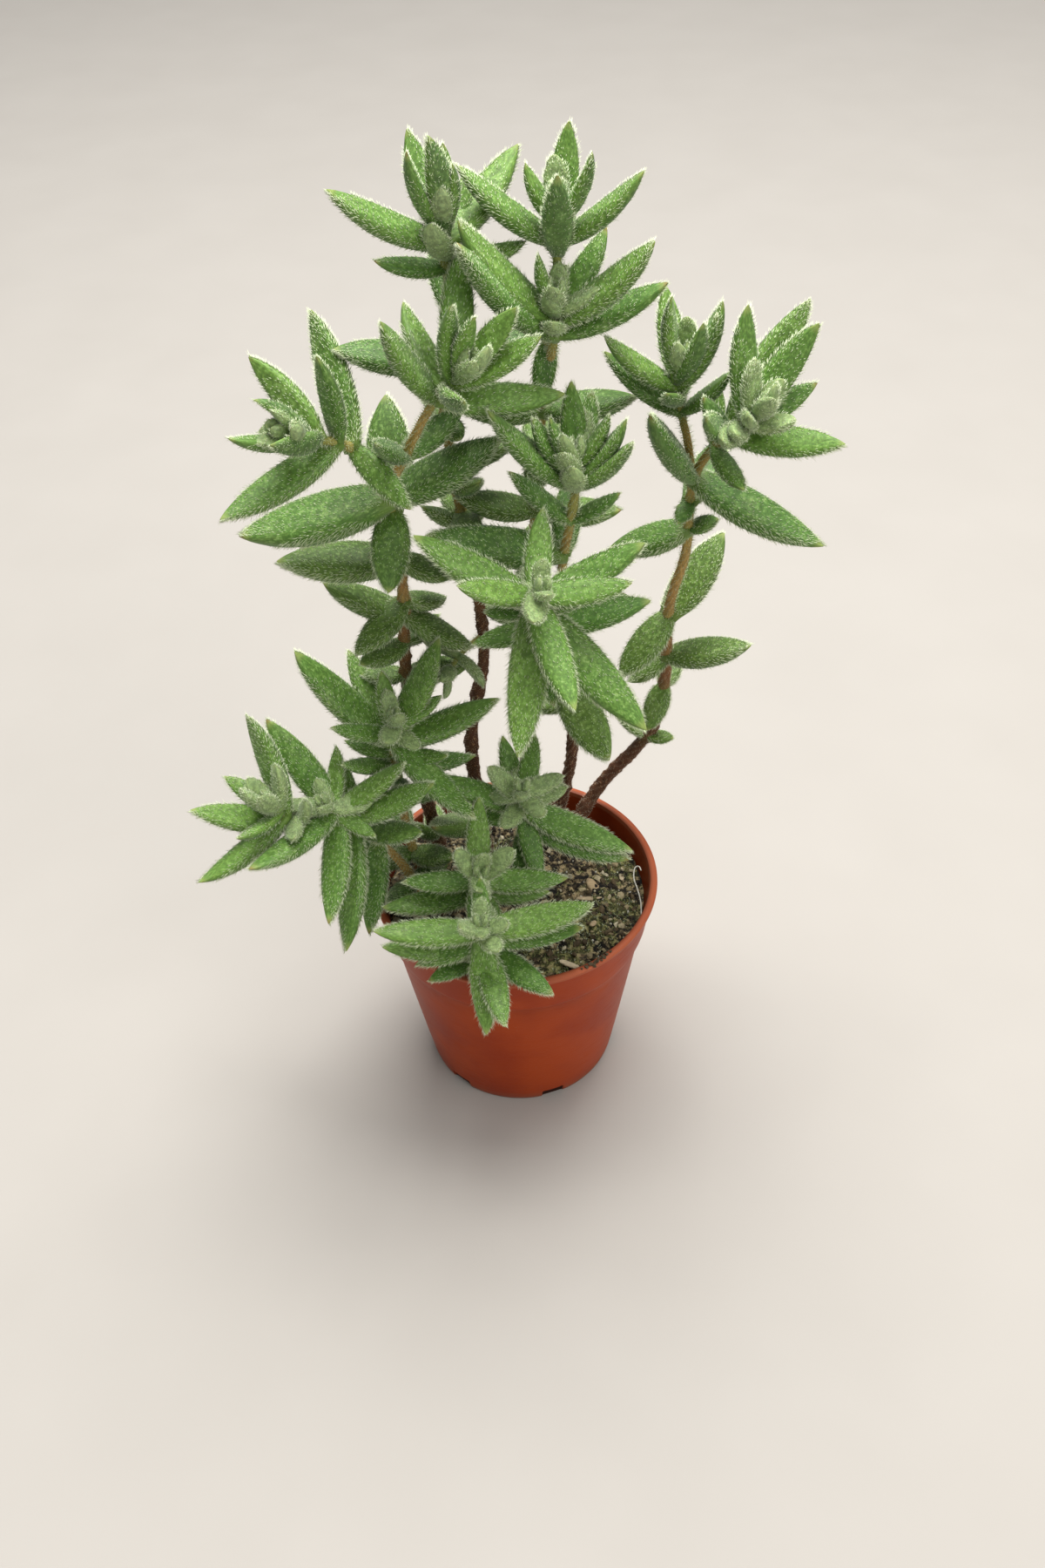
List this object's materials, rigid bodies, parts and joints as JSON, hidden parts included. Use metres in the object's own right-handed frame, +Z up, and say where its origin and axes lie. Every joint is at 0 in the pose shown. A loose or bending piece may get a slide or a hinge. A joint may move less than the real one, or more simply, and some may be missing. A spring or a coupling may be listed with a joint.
{
  "type": "potted crassula mesembryanthemoides",
  "caption": "Small upright succulent with pointed, thick, bristly leaves in crossed pairs on thin woody stems, growing from soil in a round tapered nursery pot.",
  "frame": {"origin": "centre of the pot's underside, on the surface that the pot stands on", "axes": "+Z up along the pot's axis, +Y away from the picture's camera, +X to its right"},
  "size_m": [0.1068, 0.0681, 0.1887],
  "materials": {
    "pot": "satin",
    "soil": "matte",
    "leafy_stems": "matte"
  },
  "bodies": {
    "root": {"pot": "pot", "soil": "soil", "spray_middle": "leafy_stems", "spray_left": "leafy_stems", "spray_right": "leafy_stems", "spray_front": "leafy_stems", "spray_rear": "leafy_stems", "spray_small_left": "leafy_stems", "spray_low_left": "leafy_stems", "spray_low_front": "leafy_stems", "spray_low_back": "leafy_stems", "spray_low_middle": "leafy_stems"}
  },
  "joints": []
}
